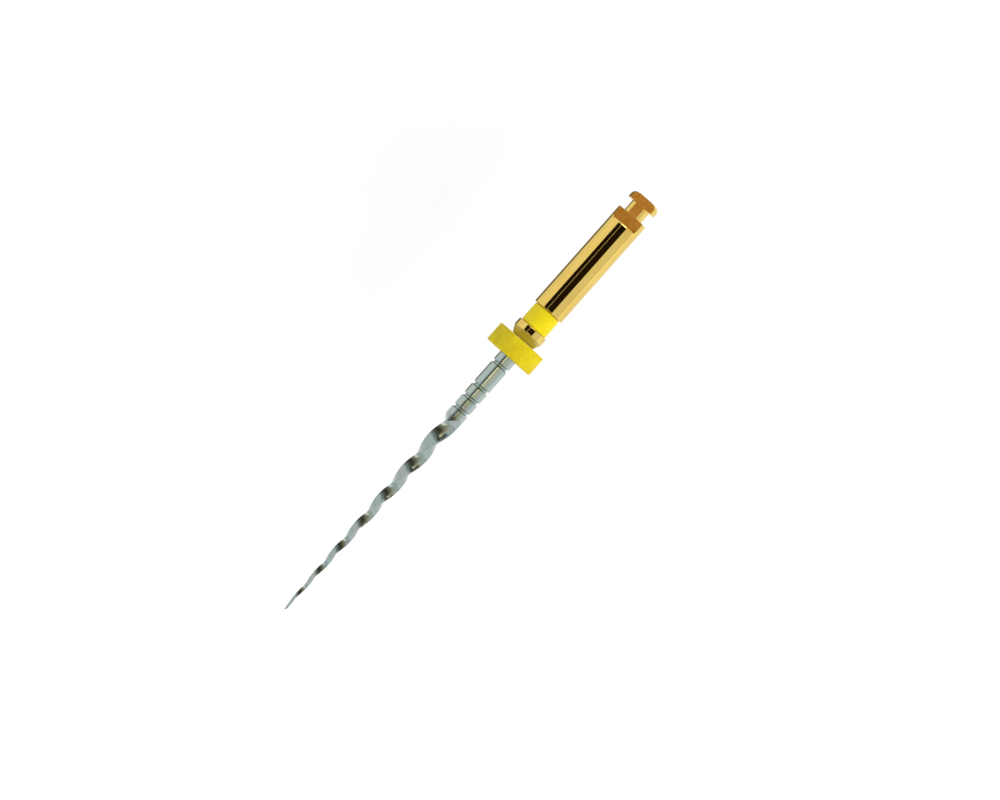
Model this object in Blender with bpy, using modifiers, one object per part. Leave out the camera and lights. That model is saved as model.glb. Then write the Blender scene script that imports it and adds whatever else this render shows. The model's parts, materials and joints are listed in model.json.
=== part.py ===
"""A rotary endodontic file: a twisted, tapered wire in a latch handle, with a colour ring and a depth stopper.

The file lies along +X, from the end of its latch shank at the origin to its tip. +Z is up, out of the D-flat.
Lengths along the file are given as depths: the distance in millimetres back from the tip, as dentists read them.
"""
import math

import bmesh
import bpy
from mathutils import Matrix

MM = 0.001

# Along the file, as depths from the tip.
FILE_LENGTH = 37.0
BUTTON_BACK = 36.36
NECK_FRONT = 35.48
DRIVE_FLAT_END = 34.66
RING_GROOVE_BACK = 26.88
RING_GROOVE_FRONT = 25.36
NOSE_TAPER_START = 24.86
NOSE_FRONT = 24.3
STOPPER_BACK = 24.25
STOPPER_THICKNESS = 1.45
TANG_END = 31.3
BORE_END = 31.4
DEPTH_MARKS = (22.0, 20.0, 19.0, 18.0)
FLUTE_START = 17.4
FLUTE_FULL_DEPTH = 16.8
FLUTE_ROOT = 0.2

# Radii and heights.
HANDLE_RADIUS = 1.175
HANDLE_EDGE = 0.06
BUTTON_RADIUS = 1.13
BUTTON_END_RADIUS = 0.79
BUTTON_DOME = 0.36
NECK_RADIUS = 0.73
DRIVE_FLAT_HEIGHT = 0.65
NOSE_FRONT_RADIUS = 0.9
GROOVE_RADIUS = 0.855
RING_RADIUS = 1.035
STOPPER_RADIUS = 1.905
STOPPER_EDGE = 0.09
SHANK_RADIUS = 0.665
MARK_DEPTH = 0.14
MARK_WIDTH = 0.3
MARK_FLOOR = 0.08

# The blade: a size 020 tip, a 6.5% taper and a section with three bulging sides.
TIP_RADIUS = 0.1
TIP_NOSE = 0.16
TIP_FLAT = 0.003
TAPER = 0.065
EDGES = 3
SIDE_BULGE = 0.1
LAND_HALF_ANGLE = math.radians(2.5)
LEAST_HALF_ANGLE = math.radians(1.0)
TURN_AT_TIP = 1.82
TURN_GROWTH = 0.0685
TWIST_AT_TIP = 5.0

# The blade's hinges, which stand in for its bending. Beyond the last one the tip is a single length.
HINGES = 12
FIRST_HINGE = 16.2
HINGE_PITCH = 1.09
HINGE_GAP = 0.05
HINGE_RELIEF = math.radians(14.0)

CLEARANCE = 0.02
FLUTE_FIT = 0.997
TURNED_STEPS = 48
SIDE_STEPS = 4
FLUTE_START_LAND_STEPS = 9
BLADE_LAND_STEPS = 1
STATION_STEP = 0.21
NOSE_STEPS = 4

GOLD = (0.83, 0.61, 0.22)
YELLOW = (0.90, 0.76, 0.02)
STOPPER_YELLOW = (0.84, 0.72, 0.03)
NITINOL = (0.56, 0.60, 0.62)


def clear_scene():
    for old in list(bpy.data.objects):
        bpy.data.objects.remove(old, do_unlink=True)


def new_collection(name):
    group = bpy.data.collections.new(name)
    bpy.context.scene.collection.children.link(group)
    return group


def principled(name, colour, roughness, metallic):
    material = bpy.data.materials.new(name)
    material.use_nodes = True
    shader = material.node_tree.nodes["Principled BSDF"]
    shader.inputs["Base Color"].default_value = (*colour, 1.0)
    shader.inputs["Roughness"].default_value = roughness
    shader.inputs["Metallic"].default_value = metallic
    material.diffuse_color = (*colour, 1.0)
    return material


def along(depth):
    """The place on the X axis, in metres, of a depth in millimetres back from the tip."""
    return (FILE_LENGTH - depth) * MM


def add_mesh_object(name, mesh, material, group):
    item = bpy.data.objects.new(name, mesh)
    item.data.materials.append(material)
    group.objects.link(item)
    return item


def arc(centre, radii, start, end, count):
    """Points (depth, radius) on an elliptical arc: angle 0 points to the shank, 90 degrees outwards."""
    points = []
    for step in range(count + 1):
        angle = math.radians(start + (end - start) * step / count)
        depth = centre[0] + radii[0] * math.cos(angle)
        radius = centre[1] + radii[1] * math.sin(angle)
        points.append((depth, radius))
    return points


def turned(name, profile, closed, material, group):
    """A turned piece. The profile lists (depth, radius) and its outer side runs from the tip's end backwards."""
    mesh = bpy.data.meshes.new(name)
    points = [(radius * MM, 0.0, along(depth)) for depth, radius in profile]
    edges = [(i, i + 1) for i in range(len(points) - 1)]
    if closed:
        edges.append((len(points) - 1, 0))
    mesh.from_pydata(points, edges, [])
    item = add_mesh_object(name, mesh, material, group)
    item.rotation_euler = (0.0, math.pi / 2.0, 0.0)
    screw = item.modifiers.new("turn", "SCREW")
    screw.steps = TURNED_STEPS
    screw.render_steps = TURNED_STEPS
    screw.use_merge_vertices = True
    screw.merge_threshold = 1e-7
    return item


def add_boolean(item, cutter, operation):
    boolean = item.modifiers.new(operation.lower(), "BOOLEAN")
    boolean.operation = operation
    boolean.object = cutter
    boolean.solver = "EXACT"


def hide_cutter(item):
    item.hide_render = True
    item.display_type = "WIRE"


def handle_profile():
    profile = [(BORE_END, 0.0), (BORE_END, SHANK_RADIUS + CLEARANCE), (NOSE_FRONT, SHANK_RADIUS + CLEARANCE)]
    profile += [(NOSE_FRONT, NOSE_FRONT_RADIUS), (NOSE_TAPER_START, HANDLE_RADIUS)]
    nose_back = RING_GROOVE_FRONT
    profile += [(nose_back - HANDLE_EDGE, HANDLE_RADIUS), (nose_back, HANDLE_RADIUS - HANDLE_EDGE)]
    profile += [(nose_back, GROOVE_RADIUS), (RING_GROOVE_BACK, GROOVE_RADIUS)]
    profile += [(RING_GROOVE_BACK, HANDLE_RADIUS - HANDLE_EDGE), (RING_GROOVE_BACK + HANDLE_EDGE, HANDLE_RADIUS)]
    profile += [(NECK_FRONT - HANDLE_EDGE, HANDLE_RADIUS), (NECK_FRONT, HANDLE_RADIUS - HANDLE_EDGE)]
    profile += [(NECK_FRONT, NECK_RADIUS), (BUTTON_BACK, NECK_RADIUS), (BUTTON_BACK, BUTTON_RADIUS)]
    dome = (BUTTON_DOME, BUTTON_RADIUS - BUTTON_END_RADIUS)
    profile += arc((FILE_LENGTH - BUTTON_DOME, BUTTON_END_RADIUS), dome, 90.0, 0.0, 6)
    profile.append((FILE_LENGTH, 0.0))
    return profile


def drive_flat_cutter(group):
    """A box that clears everything above the D-flat, from just behind the shank's end to the flat's end."""
    length = along(DRIVE_FLAT_END) + HANDLE_RADIUS * MM
    height = HANDLE_RADIUS * MM
    bpy.ops.mesh.primitive_cube_add(size=1.0)
    cutter = bpy.context.object
    cutter.name = "drive_flat_cutter"
    cutter.scale = (length, 4.0 * height, height)
    cutter.location = (along(DRIVE_FLAT_END) - length / 2.0, 0.0, DRIVE_FLAT_HEIGHT * MM + height / 2.0)
    for old_group in list(cutter.users_collection):
        old_group.objects.unlink(cutter)
    group.objects.link(cutter)
    hide_cutter(cutter)
    return cutter


def make_handle(parts, cutters):
    gold = principled("handle_gold", GOLD, 0.12, 1.0)
    handle = turned("handle", handle_profile(), False, gold, parts)
    add_boolean(handle, drive_flat_cutter(cutters), "DIFFERENCE")


def make_id_ring(parts):
    yellow = principled("ring_yellow", YELLOW, 0.45, 0.0)
    front = RING_GROOVE_FRONT + CLEARANCE
    back = RING_GROOVE_BACK - CLEARANCE
    bore = GROOVE_RADIUS + CLEARANCE
    profile = [(front, bore), (front, RING_RADIUS), (back, RING_RADIUS), (back, bore)]
    turned("id_ring", profile, True, yellow, parts)


def make_stopper(parts):
    yellow = principled("stopper_yellow", STOPPER_YELLOW, 0.7, 0.0)
    front = STOPPER_BACK - STOPPER_THICKNESS
    bore = SHANK_RADIUS + CLEARANCE
    edge = (STOPPER_EDGE, STOPPER_EDGE)
    rim = STOPPER_RADIUS - STOPPER_EDGE
    profile = [(front, bore)]
    profile += arc((front + STOPPER_EDGE, rim), edge, 180.0, 90.0, 3)
    profile += arc((STOPPER_BACK - STOPPER_EDGE, rim), edge, 90.0, 0.0, 3)
    profile.append((STOPPER_BACK, bore))
    turned("stopper", profile, True, yellow, parts)


def mark_profile(depth):
    """A depth groove: a V with a narrow flat floor."""
    floor = SHANK_RADIUS - MARK_DEPTH
    profile = [(depth - MARK_WIDTH / 2.0, SHANK_RADIUS), (depth - MARK_FLOOR / 2.0, floor)]
    profile += [(depth + MARK_FLOOR / 2.0, floor), (depth + MARK_WIDTH / 2.0, SHANK_RADIUS)]
    return profile


def twist(depth):
    """The section's turn in degrees at a depth. A third of a turn takes longer further from the tip."""
    third = TURN_AT_TIP + TURN_GROWTH * depth
    return TWIST_AT_TIP - (360.0 / EDGES / TURN_GROWTH) * math.log(third / TURN_AT_TIP)


def edge_radius(depth):
    """How far the cutting edges are from the axis: the taper, the rounded tip and the shank as a limit."""
    radius = min(SHANK_RADIUS, TIP_RADIUS + TAPER / 2.0 * depth)
    if depth < TIP_NOSE:
        radius *= math.sqrt(max(0.0, 1.0 - (1.0 - depth / TIP_NOSE) ** 2))
    return radius


def flat_half_angle(depth):
    """Half the angle that one ground side takes up: 0 on the plain shank, nearly 60 degrees on the blade."""
    ground = (FLUTE_START - depth) / (FLUTE_START - FLUTE_FULL_DEPTH)
    ground = min(1.0, max(0.0, ground))
    to_side = 1.0 + (math.cos(math.pi / EDGES) - 1.0) * ground
    return max(LEAST_HALF_ANGLE, min(math.acos(to_side), math.pi / EDGES - LAND_HALF_ANGLE))


def section(depth, land_steps):
    """The blade's section at a depth: (y, z) points in millimetres, over each ground side and then its land."""
    points = []
    outer = edge_radius(depth)
    half = flat_half_angle(depth)
    land = 2.0 * (math.pi / EDGES - half)
    for side in range(EDGES):
        middle = math.radians(twist(depth)) + 2.0 * math.pi * (side + 0.5) / EDGES
        for step in range(SIDE_STEPS + 1):
            off_middle = half * (2.0 * step / SIDE_STEPS - 1.0)
            flat = math.cos(half) / math.cos(off_middle)
            radius = outer * (flat + (1.0 - flat) * SIDE_BULGE)
            points.append((radius * math.cos(middle + off_middle), radius * math.sin(middle + off_middle)))
        for step in range(1, land_steps):
            angle = middle + half + land * step / land_steps
            points.append((outer * math.cos(angle), outer * math.sin(angle)))
    return points


def stations(back, front):
    """Depths for the sections of one length, with more of them around the rounded tip."""
    if front >= TIP_NOSE:
        count = max(2, round((back - front) / STATION_STEP))
        return [back + (front - back) * step / count for step in range(count + 1)]
    nose = []
    for step in range(1, NOSE_STEPS):
        angle = 0.5 * math.pi * step / NOSE_STEPS
        nose.append(TIP_NOSE * (1.0 - math.sin(angle)))
    return stations(back, TIP_NOSE) + nose + [front]


def loft_blade(name, back, front, relief, land_steps, material, group):
    """A closed length of blade from one depth to another. The ends are relieved to each side of the hinge."""
    shape = bmesh.new()
    rings = []
    depths = stations(back, front)
    for depth in depths:
        lean = {depths[0]: relief[0], depths[-1]: -relief[1]}.get(depth, 0.0)
        ring = [
            shape.verts.new((along(depth) + abs(y) * math.tan(lean) * MM, y * MM, z * MM))
            for y, z in section(depth, land_steps)
        ]
        rings.append(ring)
    for ring, following in zip(rings, rings[1:]):
        for i in range(len(ring)):
            j = (i + 1) % len(ring)
            shape.faces.new((ring[i], ring[j], following[j], following[i]))
    for ring, depth in ((rings[0], back), (rings[-1], front)):
        middle = shape.verts.new((along(depth), 0.0, 0.0))
        for i in range(len(ring)):
            shape.faces.new((ring[i], ring[(i + 1) % len(ring)], middle))
    bmesh.ops.recalc_face_normals(shape, faces=shape.faces)
    mesh = bpy.data.meshes.new(name)
    shape.to_mesh(mesh)
    shape.free()
    mesh.shade_smooth()
    mesh.set_sharp_from_angle(angle=math.radians(35.0))
    return add_mesh_object(name, mesh, material, group)


def hinge_depth(number):
    return FIRST_HINGE - HINGE_PITCH * number


def make_shank(material, parts, cutters):
    """The tang, the marked shank and the first flutes, up to the first hinge."""
    profile = [(FLUTE_START, 0.0), (FLUTE_START, SHANK_RADIUS)]
    for depth in sorted(DEPTH_MARKS):
        profile += mark_profile(depth)
    profile += [(TANG_END, SHANK_RADIUS), (TANG_END, 0.0)]
    shank = turned("shank", profile, False, material, parts)
    front = hinge_depth(0) + HINGE_GAP / 2.0
    back = FLUTE_START + FLUTE_ROOT
    relief = (0.0, HINGE_RELIEF)
    flutes = loft_blade("flute_start", back, front, relief, FLUTE_START_LAND_STEPS, material, cutters)
    flutes.scale = (1.0, FLUTE_FIT, FLUTE_FIT)
    hide_cutter(flutes)
    add_boolean(shank, flutes, "UNION")


def make_blade(material, parts):
    """The blade in lengths that meet at the hinges. Each length's origin is on its hinge."""
    for number in range(HINGES):
        back = hinge_depth(number) - HINGE_GAP / 2.0
        last = number == HINGES - 1
        front = TIP_FLAT if last else hinge_depth(number + 1) + HINGE_GAP / 2.0
        relief = (HINGE_RELIEF, 0.0 if last else HINGE_RELIEF)
        name = f"blade_{number + 1:02d}"
        length = loft_blade(name, back, front, relief, BLADE_LAND_STEPS, material, parts)
        hinge = along(hinge_depth(number))
        length.data.transform(Matrix.Translation((-hinge, 0.0, 0.0)))
        length.location.x = hinge


def main():
    clear_scene()
    parts = new_collection("endodontic_file")
    cutters = new_collection("cutters")
    make_handle(parts, cutters)
    make_id_ring(parts)
    make_stopper(parts)
    nitinol = principled("nitinol", NITINOL, 0.25, 1.0)
    make_shank(nitinol, parts, cutters)
    make_blade(nitinol, parts)


main()
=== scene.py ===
"""Looks for a rotary endodontic file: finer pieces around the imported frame, materials, light and camera.

The file lies along +X and its tip is at FILE_LENGTH. Shapes are worked out in millimetres, and lengths along the
file are depths: distances back from the tip. The light is laid out round the camera's own axes, because the
file is seen a little rolled about its length.
"""

import json
import math

import bmesh
import bpy
from mathutils import Matrix, Vector


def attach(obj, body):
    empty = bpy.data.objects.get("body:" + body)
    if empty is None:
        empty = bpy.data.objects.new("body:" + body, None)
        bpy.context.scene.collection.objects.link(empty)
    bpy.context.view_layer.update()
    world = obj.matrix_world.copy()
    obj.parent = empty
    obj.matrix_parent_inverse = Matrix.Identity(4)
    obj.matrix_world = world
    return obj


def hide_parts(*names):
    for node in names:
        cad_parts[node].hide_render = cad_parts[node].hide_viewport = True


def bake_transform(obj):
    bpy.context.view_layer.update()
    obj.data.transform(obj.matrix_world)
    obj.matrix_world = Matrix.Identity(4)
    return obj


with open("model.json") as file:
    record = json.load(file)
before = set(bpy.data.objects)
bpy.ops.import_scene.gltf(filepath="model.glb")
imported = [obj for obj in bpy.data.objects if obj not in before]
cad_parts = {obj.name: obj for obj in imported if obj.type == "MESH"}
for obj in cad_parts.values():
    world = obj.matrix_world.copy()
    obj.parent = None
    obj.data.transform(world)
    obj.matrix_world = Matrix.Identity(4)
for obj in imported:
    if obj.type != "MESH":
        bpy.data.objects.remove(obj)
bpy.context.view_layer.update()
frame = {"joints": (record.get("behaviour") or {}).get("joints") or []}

MM = 0.001

# Sizes along the file, as depths from the tip in millimetres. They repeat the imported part's.
FILE_LENGTH = 37.0
BUTTON_BACK = 36.36
NECK_FRONT = 35.48
DRIVE_FLAT_END = 34.66
BORE_END = 31.4
TANG_END = 31.3
RING_GROOVE_BACK = 26.88
RING_GROOVE_FRONT = 25.36
NOSE_TAPER_START = 24.86
NOSE_FRONT = 24.3
STOPPER_BACK = 24.25
STOPPER_THICKNESS = 1.45
DEPTH_MARKS = (22.0, 20.0, 19.0, 18.0)
FLUTE_START = 17.4
FLUTE_FULL_DEPTH = 16.8

# Radii and heights in millimetres.
HANDLE_RADIUS = 1.175
BUTTON_RADIUS = 1.13
BUTTON_END_RADIUS = 0.79
BUTTON_DOME = 0.36
NECK_RADIUS = 0.73
DRIVE_FLAT_HEIGHT = 0.65
NOSE_FRONT_RADIUS = 0.9
GROOVE_RADIUS = 0.855
RING_RADIUS = 1.035
STOPPER_RADIUS = 1.905
SHANK_RADIUS = 0.665
MARK_DEPTH = 0.14
MARK_WIDTH = 0.3
MARK_FLOOR = 0.08
CLEARANCE = 0.02

# The blade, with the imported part's twist and taper.
TIP_RADIUS = 0.1
TIP_NOSE = 0.16
TIP_FLAT = 0.003
TAPER = 0.065
EDGES = 3
SIDE_BULGE = 0.1
LAND_HALF_ANGLE = math.radians(0.8)
LEAST_HALF_ANGLE = math.radians(1.0)
TURN_AT_TIP = 1.82
TURN_GROWTH = 0.0685
TWIST_AT_TIP = 5.0

# Edges and small shapes that only the shown pieces have.
HANDLE_EDGE = 0.06
FLAT_EDGE = 0.02
STEP_EDGE = 0.13
STEP_HALF_ANGLE = 55.5
RING_EDGE = 0.05
RING_CROWN = 0.012
STOPPER_EDGE = 0.055
STOPPER_DISH = 0.025
MOULD_LINE = 0.012
MOULD_LINE_HALF_WIDTH = 0.035

# How finely the shown pieces are made.
TURNED_STEPS = 192
DOME_STEPS = 18
STEP_ARC_STEPS = 48
SIDE_STEPS = 14
SHANK_LAND_STEPS = 16
BLADE_LAND_STEPS = 1
BLADE_STEP = 0.045
NOSE_STEPS = 8
FILLET_STEPS = 4
LONG_STRAIGHT = 0.25
BESIDE_FILLET = 0.03
NEARLY_STRAIGHT = math.radians(165.0)
WELD = 0.0005
CREASE = math.radians(30.0)
FLAT_EDGE_ANGLE = math.radians(40.0)
ON_PLANE = 0.001
MILLED_FACING = 0.9
CONE_FACING = 0.25

# The camera: how far the file is rolled under it, and how it is turned and framed in the picture.
ROLL = math.radians(8.0)
PICTURE_TURN = math.radians(41.55)
VIEW_WIDTH = 67.7
AIM_RIGHT = 2.31
AIM_UP = 0.305
LENS = 100.0
SENSOR = 36.0

# The surroundings, in millimetres. The cards lie this high over the file.
FLOOR_DROP = 12.0
FLOOR_SIZE = 1200.0
CARD_HEIGHT = 40.0
UNDER_THE_CARDS = 39.0
WORLD_STRENGTH = 0.88
KEY_SIZE = 0.2
KEY_ENERGY = 0.40
KEY_DISTANCE = 0.3
KEY_ASIDE = 0.8
KEY_TOWARDS = 0.6


# ---------------------------------------------------------------- frame of the camera

ALONG = Vector((1.0, 0.0, 0.0))
ASIDE = Vector((0.0, math.cos(ROLL), -math.sin(ROLL)))
TOWARDS = Vector((0.0, math.sin(ROLL), math.cos(ROLL)))


def x_at(depth):
    return FILE_LENGTH - depth


def set_place(x, aside, towards):
    """A point in metres, from millimetres along the file, to its side and towards the camera."""
    return (ALONG * x + ASIDE * aside + TOWARDS * towards) * MM


# ---------------------------------------------------------------- mesh tools, in millimetres

def make_object(name, vertices, faces):
    mesh = bpy.data.meshes.new(name)
    mesh.from_pydata(vertices, [], faces)
    shape = bmesh.new()
    shape.from_mesh(mesh)
    bmesh.ops.recalc_face_normals(shape, faces=shape.faces)
    shape.to_mesh(mesh)
    shape.free()
    item = bpy.data.objects.new(name, mesh)
    bpy.context.scene.collection.objects.link(item)
    return item


def apply_modifiers(item):
    graph = bpy.context.evaluated_depsgraph_get()
    shown = item.evaluated_get(graph)
    mesh = bpy.data.meshes.new_from_object(shown, preserve_all_data_layers=True, depsgraph=graph)
    item.modifiers.clear()
    item.data = mesh


def to_metres(item):
    """Keeps each point's place at rest as an attribute, in millimetres, and brings the mesh to metres."""
    mesh = item.data
    rest = mesh.attributes.new("rest_mm", "FLOAT_VECTOR", "POINT")
    rest.data.foreach_set("vector", [c for v in mesh.vertices for c in v.co])
    mesh.transform(Matrix.Scale(MM, 4))
    mesh.shade_smooth()
    mesh.set_sharp_from_angle(angle=CREASE)


def weld(item):
    """Merges points that cuts and bevels leave on top of each other, and drops faces with no area."""
    shape = bmesh.new()
    shape.from_mesh(item.data)
    bmesh.ops.remove_doubles(shape, verts=shape.verts, dist=WELD)
    bmesh.ops.dissolve_degenerate(shape, dist=WELD, edges=shape.edges)
    shape.to_mesh(item.data)
    shape.free()


def true_to_large_faces(item):
    """Lets the large faces set the shading, so that long straight surfaces mirror straight lines."""
    weigh = item.modifiers.new("weigh", "WEIGHTED_NORMAL")
    weigh.mode = "FACE_AREA"
    weigh.weight = 100
    weigh.keep_sharp = True
    apply_modifiers(item)


def fillet(points, radius, closed=False):
    """Rounds the corners of a (depth, radius) outline, with a short straight beside each one, so that the
    shading of the long straights stays straight."""
    rounded = []
    count = len(points)
    for i, point in enumerate(points):
        here = Vector(point)
        if not closed and i in (0, count - 1):
            rounded.append(tuple(here))
            continue
        before = Vector(points[i - 1]) - here
        after = Vector(points[(i + 1) % count]) - here
        angle = before.angle(after)
        if angle > NEARLY_STRAIGHT:
            rounded.append(tuple(here))
            continue
        reach = min(radius / math.tan(angle / 2.0), before.length * 0.45, after.length * 0.45)
        start = here + before.normalized() * reach
        end = here + after.normalized() * reach
        if before.length > LONG_STRAIGHT:
            rounded.append(tuple(start + before.normalized() * BESIDE_FILLET))
        for step in range(FILLET_STEPS + 1):
            t = step / FILLET_STEPS
            point_on = start * (1 - t) ** 2 + here * 2 * t * (1 - t) + end * t ** 2
            rounded.append(tuple(point_on))
        if after.length > LONG_STRAIGHT:
            rounded.append(tuple(end + after.normalized() * BESIDE_FILLET))
    return rounded


def arc(centre, radii, start, end, count):
    points = []
    for step in range(count + 1):
        angle = math.radians(start + (end - start) * step / count)
        points.append((centre[0] + radii[0] * math.cos(angle), centre[1] + radii[1] * math.sin(angle)))
    return points


def turned(name, profile, closed):
    """A surface of revolution round the file's axis, from a (depth, radius) outline."""
    vertices = []
    rows = []
    for depth, radius in profile:
        if radius < 1e-6:
            rows.append([len(vertices)] * TURNED_STEPS)
            vertices.append((x_at(depth), 0.0, 0.0))
            continue
        rows.append(list(range(len(vertices), len(vertices) + TURNED_STEPS)))
        for step in range(TURNED_STEPS):
            angle = 2.0 * math.pi * step / TURNED_STEPS
            vertices.append((x_at(depth), radius * math.cos(angle), radius * math.sin(angle)))
    faces = []
    pairs = list(zip(rows, rows[1:]))
    if closed:
        pairs.append((rows[-1], rows[0]))
    for row, following in pairs:
        for i in range(TURNED_STEPS):
            j = (i + 1) % TURNED_STEPS
            corners = []
            for corner in (row[i], row[j], following[j], following[i]):
                if corner not in corners:
                    corners.append(corner)
            if len(corners) > 2:
                faces.append(corners)
    return make_object(name, vertices, faces)


# ---------------------------------------------------------------- node tools

def new_material(name):
    material = bpy.data.materials.new(name)
    material.use_nodes = True
    tree = material.node_tree
    return material, tree.nodes, tree.links, tree.nodes["Principled BSDF"]


def rest_place(nodes, links, scale):
    """Coordinates that stay on the surface however it bends: the place at rest, in millimetres, times a scale."""
    place = nodes.new("ShaderNodeAttribute")
    place.attribute_name = "rest_mm"
    scaled = nodes.new("ShaderNodeVectorMath")
    scaled.operation = "MULTIPLY"
    scaled.inputs[1].default_value = scale
    links.new(place.outputs["Vector"], scaled.inputs[0])
    return scaled.outputs["Vector"]


def noise(nodes, links, scale, detail=3.0, rough=0.55):
    texture = nodes.new("ShaderNodeTexNoise")
    texture.inputs["Scale"].default_value = 1.0
    texture.inputs["Detail"].default_value = detail
    texture.inputs["Roughness"].default_value = rough
    links.new(rest_place(nodes, links, scale), texture.inputs["Vector"])
    return texture.outputs["Fac"]


def spread(nodes, links, value, low, high, new_low, new_high):
    node = nodes.new("ShaderNodeMapRange")
    node.inputs["From Min"].default_value = low
    node.inputs["From Max"].default_value = high
    node.inputs["To Min"].default_value = new_low
    node.inputs["To Max"].default_value = new_high
    links.new(value, node.inputs["Value"])
    return node.outputs["Result"]


def ramp(nodes, links, value, stops):
    node = nodes.new("ShaderNodeValToRGB")
    elements = node.color_ramp.elements
    while len(elements) < len(stops):
        elements.new(0.5)
    for element, (position, colour) in zip(elements, stops):
        element.position = position
        element.color = (*colour, 1.0)
    links.new(value, node.inputs["Fac"])
    return node.outputs["Color"]


def bumps(nodes, links, shader, layers):
    """Stacks bumps. Each layer is a height, its strength and its depth in millimetres."""
    normal = None
    for height, strength, depth in layers:
        node = nodes.new("ShaderNodeBump")
        node.inputs["Strength"].default_value = strength
        node.inputs["Distance"].default_value = depth * MM
        links.new(height, node.inputs["Height"])
        if normal is not None:
            links.new(normal, node.inputs["Normal"])
        normal = node.outputs["Normal"]
    links.new(normal, shader.inputs["Normal"])


def plated_gold():
    """Polished gold plating, with hair-fine turning lines and slight handling haze."""
    material, nodes, links, shader = new_material("plated_gold")
    shader.inputs["Metallic"].default_value = 1.0
    drift = noise(nodes, links, (0.5, 0.9, 0.9), 3.0)
    colour = ramp(nodes, links, drift, ((0.3, (0.74, 0.52, 0.125)), (0.7, (0.80, 0.59, 0.165))))
    links.new(colour, shader.inputs["Base Color"])
    haze = noise(nodes, links, (2.0, 3.0, 3.0), 4.0)
    links.new(spread(nodes, links, haze, 0.35, 0.75, 0.03, 0.075), shader.inputs["Roughness"])
    lines = noise(nodes, links, (30.0, 0.5, 0.5), 2.0)
    bumps(nodes, links, shader, ((lines, 0.05, 0.001),))
    return material


def turned_gold_painted_reflection():
    """The nose's cone, left as it was turned: satin, with a painted reflection of the yellow stopper in its base,
    which is a little greener and paler than the plated barrel.
    """
    material, nodes, links, shader = new_material("turned_gold_painted_reflection")
    shader.inputs["Metallic"].default_value = 1.0
    drift = noise(nodes, links, (1.5, 2.0, 2.0), 3.0)
    # Painted reflection: the greener, paler gold stands in for the yellow stopper mirrored in the cone.
    colour = ramp(nodes, links, drift, ((0.3, (0.68, 0.585, 0.19)), (0.7, (0.78, 0.68, 0.26))))
    links.new(colour, shader.inputs["Base Color"])
    lines = noise(nodes, links, (40.0, 0.8, 0.8), 2.0)
    links.new(spread(nodes, links, lines, 0.3, 0.7, 0.38, 0.48), shader.inputs["Roughness"])
    bumps(nodes, links, shader, ((lines, 0.2, 0.002),))
    return material


def milled_gold_painted_shade():
    """The milled flat: matte gold with cutter marks across it; its brown base is painted shade, darker and redder than
    the barrel's gold, for the dark surroundings the flat mirrors.
    """
    material, nodes, links, shader = new_material("milled_gold_painted_shade")
    shader.inputs["Metallic"].default_value = 1.0
    mottle = noise(nodes, links, (3.2, 3.2, 3.2), 4.0, 0.65)
    # Painted shade: these browns are the plated gold darkened and reddened for the dark surroundings the flat mirrors;
    # the mottle between them is random.
    stops = ((0.3, (0.39, 0.165, 0.022)), (0.55, (0.49, 0.210, 0.034)), (0.75, (0.56, 0.270, 0.058)))
    links.new(ramp(nodes, links, mottle, stops), shader.inputs["Base Color"])
    rough = noise(nodes, links, (6.0, 6.0, 6.0), 3.0)
    links.new(spread(nodes, links, rough, 0.3, 0.7, 0.42, 0.56), shader.inputs["Roughness"])
    marks = noise(nodes, links, (34.0, 1.3, 1.3), 2.0)
    bumps(nodes, links, shader, ((marks, 0.35, 0.004), (mottle, 0.2, 0.006)))
    return material


def ring_plastic():
    """The colour code: a moulded yellow sleeve, satin, a little paler where the colour is thin."""
    material, nodes, links, shader = new_material("ring_plastic")
    shader.inputs["Metallic"].default_value = 0.0
    shader.inputs["IOR"].default_value = 1.47
    shader.inputs["Specular IOR Level"].default_value = 0.2
    shade = noise(nodes, links, (1.6, 1.6, 1.6), 4.0)
    colour = ramp(nodes, links, shade, ((0.3, (0.72, 0.57, 0.001)), (0.7, (0.80, 0.66, 0.002))))
    links.new(colour, shader.inputs["Base Color"])
    grain = noise(nodes, links, (14.0, 14.0, 14.0), 3.0)
    links.new(spread(nodes, links, grain, 0.3, 0.7, 0.30, 0.46), shader.inputs["Roughness"])
    bumps(nodes, links, shader, ((grain, 0.25, 0.004),))
    return material


def silicone():
    """The depth stopper: soft yellow silicone, mottled mustard, with a dusty skin."""
    material, nodes, links, shader = new_material("silicone")
    shader.inputs["Metallic"].default_value = 0.0
    shader.inputs["IOR"].default_value = 1.41
    shader.inputs["Specular IOR Level"].default_value = 0.2
    cloud = noise(nodes, links, (1.1, 1.3, 1.3), 5.0, 0.62)
    stops = ((0.28, (0.55, 0.41, 0.004)), (0.5, (0.63, 0.50, 0.005)), (0.72, (0.71, 0.585, 0.003)))
    links.new(ramp(nodes, links, cloud, stops), shader.inputs["Base Color"])
    dust = noise(nodes, links, (9.0, 9.0, 9.0), 4.0, 0.6)
    links.new(spread(nodes, links, dust, 0.3, 0.7, 0.50, 0.72), shader.inputs["Roughness"])
    bumps(nodes, links, shader, ((dust, 0.35, 0.010), (cloud, 0.3, 0.03)))
    return material


def wire_metal(name, stops, low, high, strength):
    """Nickel-titanium: cool grey drifting to straw heat tint, with fine grinding lines round the wire."""
    material, nodes, links, shader = new_material(name)
    shader.inputs["Metallic"].default_value = 1.0
    tint = noise(nodes, links, (0.9, 2.2, 2.2), 3.0)
    links.new(ramp(nodes, links, tint, stops), shader.inputs["Base Color"])
    lines = noise(nodes, links, (42.0, 2.0, 2.0), 3.0)
    links.new(spread(nodes, links, lines, 0.3, 0.7, low, high), shader.inputs["Roughness"])
    bumps(nodes, links, shader, ((lines, strength, 0.002),))
    return material


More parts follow.
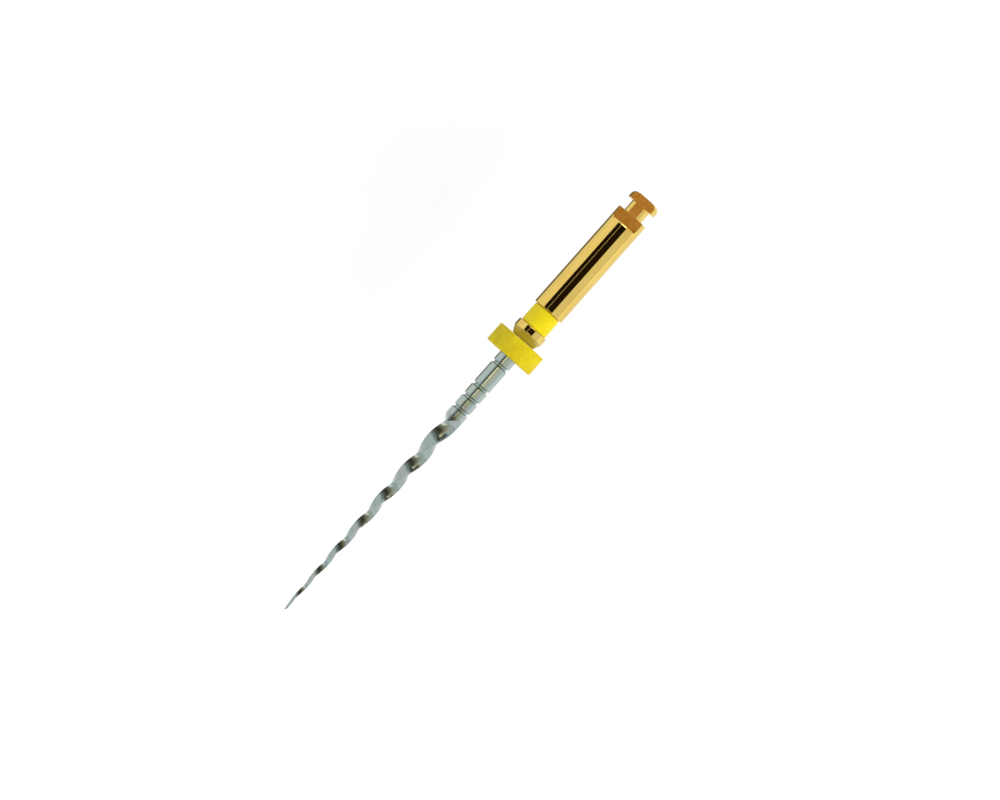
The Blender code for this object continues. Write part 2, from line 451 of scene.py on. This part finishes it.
def drawn_wire():
    """The plain shank, as drawn and lightly polished."""
    stops = ((0.32, (0.37, 0.47, 0.475)), (0.55, (0.41, 0.48, 0.45)), (0.74, (0.46, 0.47, 0.39)))
    return wire_metal("drawn_wire", stops, 0.14, 0.24, 0.25)


def ground_wire():
    """The ground blade: darker and duller than the shank."""
    stops = ((0.32, (0.30, 0.385, 0.395)), (0.55, (0.33, 0.395, 0.375)), (0.74, (0.37, 0.385, 0.32)))
    return wire_metal("ground_wire", stops, 0.16, 0.26, 0.3)


GOLD = plated_gold()
TURNED_PAINTED_REFLECTION = turned_gold_painted_reflection()
MILLED_PAINTED_SHADE = milled_gold_painted_shade()
PLASTIC = ring_plastic()
SILICONE = silicone()
DRAWN = drawn_wire()
GROUND = ground_wire()


# ---------------------------------------------------------------- handle, colour ring and stopper

def handle_profile():
    """Half the handle's outline, from the end of its bore, round the nose and back to the button's end."""
    outer = [(BORE_END, 0.0), (BORE_END, SHANK_RADIUS + CLEARANCE), (NOSE_FRONT, SHANK_RADIUS + CLEARANCE)]
    outer += [(NOSE_FRONT, NOSE_FRONT_RADIUS), (NOSE_TAPER_START, HANDLE_RADIUS)]
    outer += [(RING_GROOVE_FRONT, HANDLE_RADIUS), (RING_GROOVE_FRONT, GROOVE_RADIUS)]
    outer += [(RING_GROOVE_BACK, GROOVE_RADIUS), (RING_GROOVE_BACK, HANDLE_RADIUS)]
    outer += [(DRIVE_FLAT_END - STEP_EDGE - BESIDE_FILLET, HANDLE_RADIUS)]
    outer += [(NECK_FRONT, HANDLE_RADIUS), (NECK_FRONT, NECK_RADIUS)]
    outer += [(BUTTON_BACK, NECK_RADIUS), (BUTTON_BACK, BUTTON_RADIUS)]
    dome = (BUTTON_DOME, BUTTON_RADIUS - BUTTON_END_RADIUS)
    outer += arc((FILE_LENGTH - BUTTON_DOME, BUTTON_END_RADIUS), dome, 90.0, 0.0, DOME_STEPS)
    outer.append((FILE_LENGTH, 0.0))
    return fillet(outer, HANDLE_EDGE)


def cut_away(item, cutter):
    cut = item.modifiers.new("cut", "BOOLEAN")
    cut.operation = "DIFFERENCE"
    cut.solver = "EXACT"
    cut.object = cutter
    apply_modifiers(item)
    bpy.data.objects.remove(cutter, do_unlink=True)


def drive_flat_cutter():
    high = HANDLE_RADIUS * 2.0
    front = x_at(DRIVE_FLAT_END)
    box = [(x, y, z) for x in (-1.0, front) for y in (-high, high) for z in (DRIVE_FLAT_HEIGHT, high)]
    sides = [(0, 1, 3, 2), (4, 6, 7, 5), (0, 4, 5, 1), (2, 3, 7, 6), (0, 2, 6, 4), (1, 5, 7, 3)]
    return make_object("drive_flat_cutter", box, sides)


def step_edge_cutter():
    """What the cutter's rounded corner leaves off the edge where the flat ends, swept over the flat's arc."""
    outline = arc((DRIVE_FLAT_END - STEP_EDGE, HANDLE_RADIUS - STEP_EDGE), (STEP_EDGE, STEP_EDGE), 90.0, 0.0, 6)
    above, behind = HANDLE_RADIUS + 0.1, DRIVE_FLAT_END + 0.1
    outline += [(behind, HANDLE_RADIUS - STEP_EDGE), (behind, above), (DRIVE_FLAT_END - STEP_EDGE, above)]
    vertices = []
    for step in range(STEP_ARC_STEPS + 1):
        angle = math.radians(STEP_HALF_ANGLE * (2.0 * step / STEP_ARC_STEPS - 1.0))
        vertices += [(x_at(depth), radius * math.sin(angle), radius * math.cos(angle)) for depth, radius in outline]
    size = len(outline)
    faces = [tuple(range(size)), tuple(range(STEP_ARC_STEPS * size, (STEP_ARC_STEPS + 1) * size))]
    for step in range(STEP_ARC_STEPS):
        for i in range(size):
            j = (i + 1) % size
            faces.append((step * size + i, step * size + j, (step + 1) * size + j, (step + 1) * size + i))
    return make_object("step_edge_cutter", vertices, faces)


def make_handle():
    handle = turned("handle_body", handle_profile(), False)
    front = x_at(DRIVE_FLAT_END)
    cut_away(handle, drive_flat_cutter())
    cut_away(handle, step_edge_cutter())
    handle.data.materials.clear()
    handle.data.materials.append(GOLD)
    # The flat's and the step's gold is darkened with painted shade.
    handle.data.materials.append(MILLED_PAINTED_SHADE)
    # The cone's gold carries a painted reflection of the yellow stopper.
    handle.data.materials.append(TURNED_PAINTED_REFLECTION)
    for face in handle.data.polygons:
        on_flat = face.normal.z > MILLED_FACING and abs(face.center.z - DRIVE_FLAT_HEIGHT) < ON_PLANE
        on_step = face.normal.x < -MILLED_FACING and abs(face.center.x - front) < ON_PLANE
        on_nose = x_at(NOSE_TAPER_START) < face.center.x < x_at(NOSE_FRONT) + ON_PLANE
        on_cone = on_nose and face.normal.x > CONE_FACING
        face.material_index = 1 if on_flat or on_step else 2 if on_cone else 0
    soften = handle.modifiers.new("edges", "BEVEL")
    soften.limit_method = "ANGLE"
    soften.angle_limit = FLAT_EDGE_ANGLE
    soften.width = FLAT_EDGE
    soften.segments = 2
    soften.material = 0
    apply_modifiers(handle)
    weld(handle)
    to_metres(handle)
    true_to_large_faces(handle)
    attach(handle, "body")
    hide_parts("handle")


def make_ring():
    """A sleeve that is very slightly crowned, with soft corners."""
    front = RING_GROOVE_FRONT + CLEARANCE
    back = RING_GROOVE_BACK - CLEARANCE
    bore = GROOVE_RADIUS + CLEARANCE
    edge = RING_RADIUS - RING_CROWN
    outline = [(front, bore), (front, edge), ((front + back) / 2.0, RING_RADIUS), (back, edge), (back, bore)]
    ring = turned("colour_ring", fillet(outline, RING_EDGE, closed=True), True)
    ring.data.materials.append(PLASTIC)
    to_metres(ring)
    true_to_large_faces(ring)
    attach(ring, "body")
    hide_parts("id_ring")


def make_stopper():
    """A thick silicone disc: faces a little dished, a faint mould line round the rim, a lip where the wire is."""
    front = STOPPER_BACK - STOPPER_THICKNESS
    middle = (front + STOPPER_BACK) / 2.0
    bore = SHANK_RADIUS + CLEARANCE
    rim = STOPPER_RADIUS - MOULD_LINE
    lip, hollow, shoulder = bore + 0.12, bore + 0.5, STOPPER_RADIUS - 0.25
    dish, half_dish = STOPPER_DISH, STOPPER_DISH * 0.4
    outline = [(front, bore), (front + half_dish, lip), (front + dish, hollow), (front, shoulder), (front, rim)]
    outline += [(middle - MOULD_LINE_HALF_WIDTH, rim), (middle, STOPPER_RADIUS), (middle + MOULD_LINE_HALF_WIDTH, rim)]
    outline += [(STOPPER_BACK, rim), (STOPPER_BACK, shoulder), (STOPPER_BACK - dish, hollow)]
    outline += [(STOPPER_BACK - half_dish, lip), (STOPPER_BACK, bore)]
    stopper = turned("depth_stopper", fillet(outline, STOPPER_EDGE, closed=True), True)
    stopper.data.materials.append(SILICONE)
    to_metres(stopper)
    true_to_large_faces(stopper)
    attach(stopper, "stopper")
    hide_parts("stopper")


# ---------------------------------------------------------------- the wire

def twist(depth):
    third = TURN_AT_TIP + TURN_GROWTH * min(depth, FLUTE_START)
    return TWIST_AT_TIP - (360.0 / EDGES / TURN_GROWTH) * math.log(third / TURN_AT_TIP)


def edge_radius(depth):
    radius = min(SHANK_RADIUS, TIP_RADIUS + TAPER / 2.0 * depth)
    if depth < TIP_NOSE:
        radius *= math.sqrt(max(0.0, 1.0 - (1.0 - depth / TIP_NOSE) ** 2))
    return radius


def flat_half_angle(depth):
    ground = (FLUTE_START - depth) / (FLUTE_START - FLUTE_FULL_DEPTH)
    ground = min(1.0, max(0.0, ground))
    to_side = 1.0 + (math.cos(math.pi / EDGES) - 1.0) * ground
    return max(LEAST_HALF_ANGLE, min(math.acos(to_side), math.pi / EDGES - LAND_HALF_ANGLE))


def mark_radius(depth):
    """The plain shank's radius, with its V-shaped depth marks."""
    for mark in DEPTH_MARKS:
        away = abs(depth - mark)
        if away < MARK_WIDTH / 2.0:
            slope = (away - MARK_FLOOR / 2.0) / (MARK_WIDTH / 2.0 - MARK_FLOOR / 2.0)
            return SHANK_RADIUS - MARK_DEPTH * (1.0 - max(0.0, slope))
    return SHANK_RADIUS


def section(depth, land_steps):
    """One ring of the wire. Points crowd towards the edges of each ground side."""
    points = []
    outer = mark_radius(depth) if depth > FLUTE_START else edge_radius(depth)
    half = flat_half_angle(depth)
    land = 2.0 * (math.pi / EDGES - half)
    x = x_at(depth)
    for side in range(EDGES):
        middle = math.radians(twist(depth)) + 2.0 * math.pi * (side + 0.5) / EDGES
        for step in range(SIDE_STEPS + 1):
            off_middle = -half * math.cos(math.pi * step / SIDE_STEPS)
            flat = math.cos(half) / math.cos(off_middle)
            radius = outer * (flat + (1.0 - flat) * SIDE_BULGE)
            points.append((x, radius * math.cos(middle + off_middle), radius * math.sin(middle + off_middle)))
        for step in range(1, land_steps):
            angle = middle + half + land * step / land_steps
            points.append((x, outer * math.cos(angle), outer * math.sin(angle)))
    return points


def even(back, front, step):
    count = max(1, round((back - front) / step))
    return [back + (front - back) * i / count for i in range(count + 1)]


def shank_depths():
    """Places for rings on the plain shank: its ends and the corners of its marks."""
    half, floor = MARK_WIDTH / 2.0, MARK_FLOOR / 2.0
    corners = [mark + away for mark in DEPTH_MARKS for away in (half, floor, -floor, -half)]
    return [TANG_END, NOSE_FRONT] + corners


def nose_depths():
    return [TIP_NOSE * (1.0 - math.sin(0.5 * math.pi * i / NOSE_STEPS)) for i in range(1, NOSE_STEPS)] + [TIP_FLAT]


def loft(name, depths, land_steps):
    """A closed length of wire, through one ring at each depth."""
    vertices = []
    for depth in depths:
        vertices += section(depth, land_steps)
    size = len(vertices) // len(depths)
    faces = []
    for row in range(len(depths) - 1):
        for i in range(size):
            j = (i + 1) % size
            faces.append((row * size + i, row * size + j, (row + 1) * size + j, (row + 1) * size + i))
    for row, depth in ((0, depths[0]), (len(depths) - 1, depths[-1])):
        middle = len(vertices)
        vertices.append((x_at(depth), 0.0, 0.0))
        for i in range(size):
            faces.append((row * size + i, row * size + (i + 1) % size, middle))
    wire = make_object(name, vertices, faces)
    wire.data.materials.append(DRAWN)
    wire.data.materials.append(GROUND)
    for face in wire.data.polygons:
        face.material_index = 1 if face.center.x > x_at(FLUTE_START) else 0
    to_metres(wire)
    return wire


def make_wire():
    """The wire, in lengths that each span one hinge and meet halfway between two."""
    hinges = [j for j in frame["joints"] if j["type"] == "hinge"]
    places = [FILE_LENGTH - j["pos_m"][0] / MM for j in hinges]
    half_pitch = (places[0] - places[1]) / 2.0
    for number, (hinge, place) in enumerate(zip(hinges, places)):
        start, end = place + half_pitch, place - half_pitch
        first, last = number == 0, number == len(hinges) - 1
        if first:
            depths = shank_depths() + even(FLUTE_START + 0.04, end, BLADE_STEP)
        elif last:
            depths = even(start, TIP_NOSE, BLADE_STEP) + nose_depths()
        else:
            depths = even(start, end, BLADE_STEP)
        wire = loft(f"wire_{number + 1:02d}", depths, SHANK_LAND_STEPS if first else BLADE_LAND_STEPS)
        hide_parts(hinge["child"], *(["shank"] if first else []))
        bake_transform(wire)


# ---------------------------------------------------------------- floor, light and camera

def plain_material(name, colour, roughness):
    material, nodes, links, shader = new_material(name)
    shader.inputs["Base Color"].default_value = (*colour, 1.0)
    shader.inputs["Roughness"].default_value = roughness
    return material


def make_floor():
    bpy.ops.mesh.primitive_plane_add(size=FLOOR_SIZE * MM, location=(0.0, 0.0, -FLOOR_DROP * MM))
    floor = bpy.context.object
    floor.name = "floor"
    floor.data.materials.append(plain_material("floor_white", (0.985, 0.985, 0.985), 0.9))


def make_card(name, corners, colour, strength=1.0):
    """A card that only mirror-like surfaces see. Corners are (along, aside, towards) in millimetres."""
    mesh = bpy.data.meshes.new(name)
    mesh.from_pydata([set_place(*corner) for corner in corners], [], [(0, 1, 2, 3)])
    card = bpy.data.objects.new(name, mesh)
    bpy.context.scene.collection.objects.link(card)
    material = bpy.data.materials.new(name)
    material.use_nodes = True
    nodes = material.node_tree.nodes
    nodes.clear()
    glow = nodes.new("ShaderNodeEmission")
    glow.inputs["Color"].default_value = (*colour, 1.0)
    glow.inputs["Strength"].default_value = strength
    output = nodes.new("ShaderNodeOutputMaterial")
    material.node_tree.links.new(glow.outputs["Emission"], output.inputs["Surface"])
    mesh.materials.append(material)
    card.visible_camera = False
    card.visible_diffuse = False
    card.visible_shadow = False
    card.visible_transmission = False


def overhead(name, back, front, low, high, colour, strength=1.0, height=CARD_HEIGHT):
    """A card over the file, from back to front along it. low and high are angles from the camera's line, in
    degrees, positive away from ASIDE."""
    near, far = (-height * math.tan(math.radians(angle)) for angle in (low, high))
    corners = ((back, near, height), (front, near, height), (front, far, height), (back, far, height))
    make_card(name, corners, colour, strength)


def make_tent():
    """White all round, and one soft lamp that mirror-like surfaces don't see."""
    world = bpy.data.worlds.new("white_tent")
    world.use_nodes = True
    background = world.node_tree.nodes["Background"]
    background.inputs["Color"].default_value = (1.0, 1.0, 1.0, 1.0)
    background.inputs["Strength"].default_value = WORLD_STRENGTH
    bpy.context.scene.world = world
    key = bpy.data.lights.new("key", "AREA")
    key.shape = "SQUARE"
    key.size = KEY_SIZE
    key.energy = KEY_ENERGY
    lamp = bpy.data.objects.new("key", key)
    centre = set_place(FILE_LENGTH / 2.0, 0.0, 0.0)
    lamp.location = centre + (ASIDE * KEY_ASIDE + TOWARDS * KEY_TOWARDS) * KEY_DISTANCE
    lamp.rotation_mode = "QUATERNION"
    lamp.rotation_quaternion = (centre - lamp.location).to_track_quat("-Z", "Y")
    lamp.visible_glossy = False
    bpy.context.scene.collection.objects.link(lamp)


def make_cards():
    """The bands that the metal mirrors: one set for the handle, one for the shank and one for the blade."""
    handle_back, handle_front = -3.2, 12.3
    dark = (0.016, 0.010, 0.005)
    overhead("dark_wide", handle_back, handle_front, -25.0, 16.0, dark)
    overhead("dark_slim", handle_back, handle_front, 18.0, 43.0, dark)
    shank_back, shank_front = 12.3, 19.2
    overhead("shank_glow", shank_back, shank_front, -46.0, -16.0, (1.0, 0.92, 0.70))
    overhead("shank_warm", shank_back, shank_front, -16.0, 2.0, (1.25, 1.05, 0.70))
    overhead("shank_bright", shank_back, shank_front, 2.0, 12.0, (2.4, 2.1, 1.4))
    overhead("shank_dark", shank_back, shank_front, 13.0, 31.0, (0.012, 0.010, 0.006))
    blade_back, blade_front = 19.2, 110.0
    blade_bands = (
        (-62.0, -42.0, (0.78, 0.75, 0.66)),
        (-42.0, -24.0, (0.52, 0.46, 0.34)),
        (-24.0, -9.0, (0.27, 0.22, 0.13)),
        (-9.0, 15.0, (0.07, 0.055, 0.030)),
        (15.0, 31.0, (0.17, 0.16, 0.12)),
        (31.0, 50.0, (0.42, 0.44, 0.42)),
    )
    for number, (low, high, colour) in enumerate(blade_bands):
        overhead(f"blade_band_{number + 1}", blade_back, blade_front, low, high, colour)
    glint = (1.0, 0.97, 0.88)
    overhead("glint_back", -48.0, -14.0, -20.0, 20.0, glint, 4.5)
    overhead("glint_front", 44.0, 80.0, -50.0, -38.0, glint, 2.6, UNDER_THE_CARDS)
    edge = ((-12.0, -1.6, -5.0), (18.0, -1.6, -5.0), (18.0, -9.0, -5.0), (-12.0, -9.0, -5.0))
    make_card("edge_dark", edge, (0.24, 0.225, 0.16))
    side = ((-60.0, -60.0, 60.0), (100.0, -60.0, 60.0), (100.0, -60.0, -5.0), (-60.0, -60.0, -5.0))
    make_card("side_soft", side, (1.06, 1.04, 1.0))


def make_camera():
    right = -ALONG * math.sin(PICTURE_TURN) + ASIDE * math.cos(PICTURE_TURN)
    up = -ALONG * math.cos(PICTURE_TURN) - ASIDE * math.sin(PICTURE_TURN)
    aim = set_place(FILE_LENGTH / 2.0, 0.0, 0.0) + (right * AIM_RIGHT + up * AIM_UP) * MM
    lens = bpy.data.cameras.new("camera")
    lens.lens = LENS
    lens.sensor_width = SENSOR
    lens.clip_start = 0.005
    lens.clip_end = 10.0
    camera = bpy.data.objects.new("camera", lens)
    distance = VIEW_WIDTH * MM * LENS / SENSOR
    turn = Matrix((right, up, TOWARDS)).transposed().to_4x4()
    camera.matrix_world = Matrix.Translation(aim + TOWARDS * distance) @ turn
    bpy.context.scene.collection.objects.link(camera)
    bpy.context.scene.camera = camera


make_handle()
make_ring()
make_stopper()
make_wire()
make_floor()
make_tent()
make_cards()
make_camera()
bpy.context.scene.view_settings.view_transform = "Standard"
